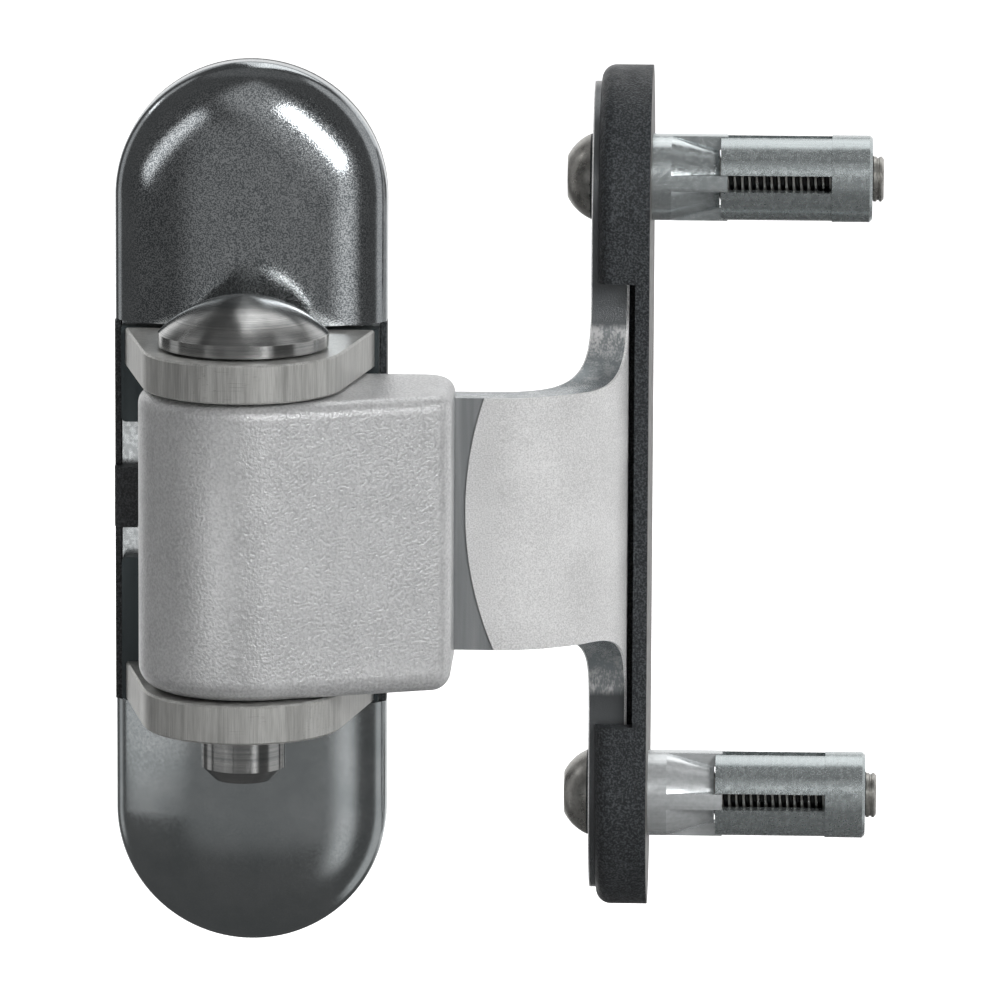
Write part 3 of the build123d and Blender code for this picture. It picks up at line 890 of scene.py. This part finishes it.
@dataclass
class Leaf:
    """The leaf plate, its pad and the two anchors, with its size in millimetres."""

    pad_face_x: float = 80.3

    def build(self) -> None:
        """Dress every piece, and make the two screws."""
        dress("leaf_plate", BentPlateSteel("blasted_leaf").make())
        dress("leaf_pad", GrainedPlastic("leaf_plastic", smooth_x=self.pad_face_x).make())
        washer = GrainedPlastic("head_washer_plastic", grain_mm=0.2).make()
        sleeves = {
            Side.UPPER: ZincPlate("upper_anchor_zinc"),
            Side.LOWER: ZincPlate("lower_anchor_zinc", grain=Grain.AROUND_X, line_mm=0.4),
        }
        collars = {
            Side.UPPER: ZincPlate("upper_collar_zinc", (0.56, 0.61, 0.62), (0.80, 0.85, 0.86), roughness=0.2),
            Side.LOWER: ZincPlate("lower_collar_zinc", (0.70, 0.73, 0.74), (0.90, 0.93, 0.94), roughness=0.2,
                                  metallic=0.7),
        }
        screw = AnchorScrew()
        for side in Side:
            dress(f"{side.value}_head_washer", washer)
            dress(f"{side.value}_wedge_collar", collars[side].make())
            dress(f"{side.value}_expansion_sleeve", sleeves[side].make())
            screw.build(side)


@dataclass
class Camera:
    """The photograph's viewpoint, in millimetres and degrees."""

    azimuth: float = 1.903
    elevation: float = 11.068
    roll: float = 0.272
    distance: float = 1916.1
    target: tuple[float, float, float] = (50.64, -10.0, 2.40)
    pixels_per_mm: float = 4.95
    frame_pixels: float = 1000.0
    sensor: float = 36.0
    sight_metres: float = 50.0

    def build(self) -> None:
        """Add the camera and make it the scene's own."""
        turn, rise, tilt = (math.radians(angle) for angle in (self.azimuth, self.elevation, self.roll))
        back = Vector((math.sin(turn) * math.cos(rise), -math.cos(turn) * math.cos(rise), math.sin(rise)))
        level = Vector((math.cos(turn), math.sin(turn), 0))
        upright = back.cross(level)
        right = level * math.cos(tilt) + upright * math.sin(tilt)
        up = upright * math.cos(tilt) - level * math.sin(tilt)
        data = bpy.data.cameras.new("photo_view")
        data.lens = self.pixels_per_mm * self.distance * self.sensor / self.frame_pixels
        data.sensor_width = self.sensor
        data.clip_end = self.sight_metres
        camera = bpy.data.objects.new("photo_view", data)
        camera.matrix_world = Matrix((right, up, back)).transposed().to_4x4()
        camera.matrix_world.translation = (Vector(self.target) + back * self.distance) * MM
        bpy.context.collection.objects.link(camera)
        bpy.context.scene.camera = camera


@dataclass(frozen=True)
class Window:
    """A patch of light in the studio, in degrees: side is to the right of the front, height is up."""

    side: float
    height: float
    half_width: float
    half_height: float
    level: float
    soft: float
    turn: float = 0.0

    def light(self, shader: Shader, side: Socket, height: Socket) -> Socket:
        """The window's light at a direction.

        Args:
            shader: The surround's shader.
            side: The direction's side angle.
            height: The direction's height angle.

        Returns:
            Its level inside, fading to nought at its soft edges.
        """
        turn = math.radians(self.turn)
        across = shader.math("SUBTRACT", side, self.side)
        up = shader.math("SUBTRACT", height, self.height)
        along = shader.math("ADD", shader.math("MULTIPLY", across, math.cos(turn)),
                            shader.math("MULTIPLY", up, math.sin(turn)))
        over = shader.math("ADD", shader.math("MULTIPLY", across, -math.sin(turn)),
                           shader.math("MULTIPLY", up, math.cos(turn)))
        level = self.level
        for value, half in ((along, self.half_width), (over, self.half_height)):
            edge = shader.remap(shader.math("ABSOLUTE", value), half - self.soft, half + self.soft, 1.0, 0.0)
            level = shader.math("MULTIPLY", edge, level)
        return level


@dataclass(frozen=True)
class Card:
    """A bright upright card that only mirrors see, in metres, turned about the upright by degrees."""

    name: str
    place: tuple[float, float, float]
    width: float
    height: float
    turn: float
    level: float

    def build(self) -> None:
        """Set it up."""
        bpy.ops.mesh.primitive_plane_add(size=1, location=self.place)
        card = bpy.context.object
        card.name = self.name
        card.scale = (self.width, self.height, 1)
        card.rotation_euler = (math.pi / 2, 0, math.radians(self.turn))
        shader = Shader(f"{self.name}_light", 1.0, 0.0)
        shader.shine(self.level)
        card.data.materials.append(shader.material)
        only_in_mirrors(card)


@dataclass(frozen=True)
class Lamp:
    """A square soft lamp that looks at the hinge and that mirrors don't see, in metres and watts."""

    name: str
    place: tuple[float, float, float]
    size: float
    watts: float
    aim: tuple[float, float, float] = (0.05, 0.0, 0.0)

    def build(self) -> None:
        """Set it up."""
        data = bpy.data.lights.new(self.name, "AREA")
        data.size = self.size
        data.energy = self.watts
        lamp = bpy.data.objects.new(self.name, data)
        lamp.location = self.place
        lamp.rotation_euler = (Vector(self.aim) - Vector(self.place)).to_track_quat("-Z", "Y").to_euler()
        lamp.visible_glossy = False
        bpy.context.collection.objects.link(lamp)


@dataclass
class Studio:
    """The floor, the lamps, the world and what the metal mirrors, in metres and degrees.

    The low card is mirrored in the lower cover beside the ear, the strip card in the base plate's open strip.
    """

    floor_z: float = -0.26
    floor_size: float = 14.0
    floor_roughness: float = 0.9
    floor_paint: Colour = (0.75, 0.75, 0.75)
    floor_glow: float = 0.86
    world_level: float = 0.10
    surround_radius: float = 5.0
    surround_segments: int = 64
    surround_rings: int = 32
    dark: float = 0.085
    behind_level: float = 0.95
    behind_right: Band = (112, 124)
    behind_left: Band = (-150, -134)
    behind_low: Band = (-36, -16)
    behind_low_share: float = 0.08
    behind_high: Band = (24, 42)
    behind_high_share: float = 0.1
    windows: tuple[Window, ...] = (
        Window(0, -2, 26, 24, 0.2, 9),
        Window(23.5, 17.5, 17, 3.7, 6.5, 1.4, -45),
        Window(14, 22, 36, 15, 0.34, 8, -45),
        Window(35, -16, 8, 20, 0.62, 7),
        Window(-36.5, 13, 18, 4.5, 1.0, 2, 45),
        Window(-104, 16, 10, 42, 0.42, 5),
        Window(-104, 34, 5, 4, 2.4, 2),
        Window(96, 5, 20, 60, 0.5, 6),
        Window(0, 75, 100, 15, 0.15, 8),
        Window(162, 62, 20, 22, 1.5, 6),
        Window(-176, 62, 8, 22, 1.1, 4),
        Window(-150, 32, 14, 16, 0.45, 5),
    )
    cards: tuple[Card, ...] = (
        Card("low_card", (-0.253, -0.195, -0.109), 0.34, 0.036, -52, 0.7),
        Card("strip_card", (-0.0275, -0.10, -0.016), 0.016, 0.040, 0, 1.4),
    )
    lamps: tuple[Lamp, ...] = (
        Lamp("key_lamp", (1.45, -1.6, 1.15), 0.9, 48.0),
        Lamp("top_lamp", (0.2, -0.5, 2.2), 0.8, 14.0),
        Lamp("back_lamp", (-1.4, 1.6, 0.9), 0.9, 34.0),
    )

    def world(self) -> None:
        """White to the eye and in mirrors, and a plain level of light on the object."""
        world = bpy.data.worlds.new("studio_world")
        bpy.context.scene.world = world
        world.use_nodes = True
        tree = world.node_tree
        tree.nodes.clear()
        path = tree.nodes.new("ShaderNodeLightPath")
        seen = path.outputs["Is Camera Ray"]
        for ray in ("Is Glossy Ray", "Is Transmission Ray"):
            either = tree.nodes.new("ShaderNodeMath")
            either.operation = "MAXIMUM"
            tree.links.new(seen, either.inputs[0])
            tree.links.new(path.outputs[ray], either.inputs[1])
            seen = either.outputs[0]
        level = tree.nodes.new("ShaderNodeMapRange")
        tree.links.new(seen, level.inputs["Value"])
        level.inputs["To Min"].default_value = self.world_level
        level.inputs["To Max"].default_value = 1.0
        shade = tree.nodes.new("ShaderNodeBackground")
        out = tree.nodes.new("ShaderNodeOutputWorld")
        tree.links.new(level.outputs["Result"], shade.inputs["Strength"])
        tree.links.new(shade.outputs["Background"], out.inputs["Surface"])

    def floor(self) -> None:
        """A pale floor below the hinge, which is white where no shadow falls."""
        bpy.ops.mesh.primitive_plane_add(size=self.floor_size, location=(0, 0, self.floor_z))
        floor = bpy.context.object
        floor.name = "floor"
        shader = Shader("floor_paint", self.floor_roughness, 0.0)
        shader.surface.inputs["Base Color"].default_value = (*self.floor_paint, 1)
        shader.surface.inputs["Emission Color"].default_value = (1, 1, 1, 1)
        path = shader.node("ShaderNodeLightPath")
        seen = shader.math("MAXIMUM", path.outputs["Is Camera Ray"], path.outputs["Is Transmission Ray"])
        shader.link(shader.math("MULTIPLY", seen, self.floor_glow), shader.surface.inputs["Emission Strength"])
        floor.data.materials.append(shader.material)
        floor.visible_glossy = False

    def surround(self) -> None:
        """Dark studio walls with patches of light, seen only by mirrors, white behind the hinge."""
        bpy.ops.mesh.primitive_uv_sphere_add(segments=self.surround_segments, ring_count=self.surround_rings,
                                             radius=self.surround_radius)
        sphere = bpy.context.object
        sphere.name = "surround"
        shader = Shader("surround_light", 1.0, 0.0)
        x, y, z = shader.split(shader.place)
        degrees = math.degrees(1)
        side = shader.math("MULTIPLY", shader.math("ARCTAN2", x, shader.math("MULTIPLY", y, -1)), degrees)
        rise = shader.math("DIVIDE", z, self.surround_radius)
        height = shader.math("MULTIPLY", shader.math("ARCSINE", rise), degrees)
        total = self.dark
        for window in self.windows:
            total = shader.math("MAXIMUM", total, window.light(shader, side, height))
        total = shader.math("MAXIMUM", total, self.behind(shader, side, height))
        shader.shine(total)
        sphere.data.materials.append(shader.material)
        only_in_mirrors(sphere)

    def behind(self, shader: Shader, side: Socket, height: Socket) -> Socket:
        """The white backdrop's light at a direction.

        Args:
            shader: The surround's shader.
            side: The direction's side angle.
            height: The direction's height angle.

        Returns:
            Its level behind the hinge, fading to the front, and above and below.
        """
        level = shader.math("MAXIMUM", shader.remap(side, *self.behind_right, 0.0, self.behind_level),
                            shader.remap(side, *self.behind_left, self.behind_level, 0.0))
        for band, low, high in ((self.behind_low, self.behind_low_share, 1.0),
                                (self.behind_high, 1.0, self.behind_high_share)):
            level = shader.math("MULTIPLY", level, shader.remap(height, *band, low, high))
        return level

    def build(self) -> None:
        """Set up the whole studio."""
        bpy.context.scene.view_settings.view_transform = "Standard"
        self.world()
        self.floor()
        self.surround()
        for piece in (*self.cards, *self.lamps):
            piece.build()


def main() -> None:
    """Dress the hinge, and set the studio and the camera."""
    logging.basicConfig(level=logging.INFO, format="%(message)s")
    for piece in (PostSide(), HingeBarrel(), Leaf(), Studio(), Camera()):
        piece.build()
        LOG.info("built %s", type(piece).__name__)


if __name__ == "__main__":
    main()
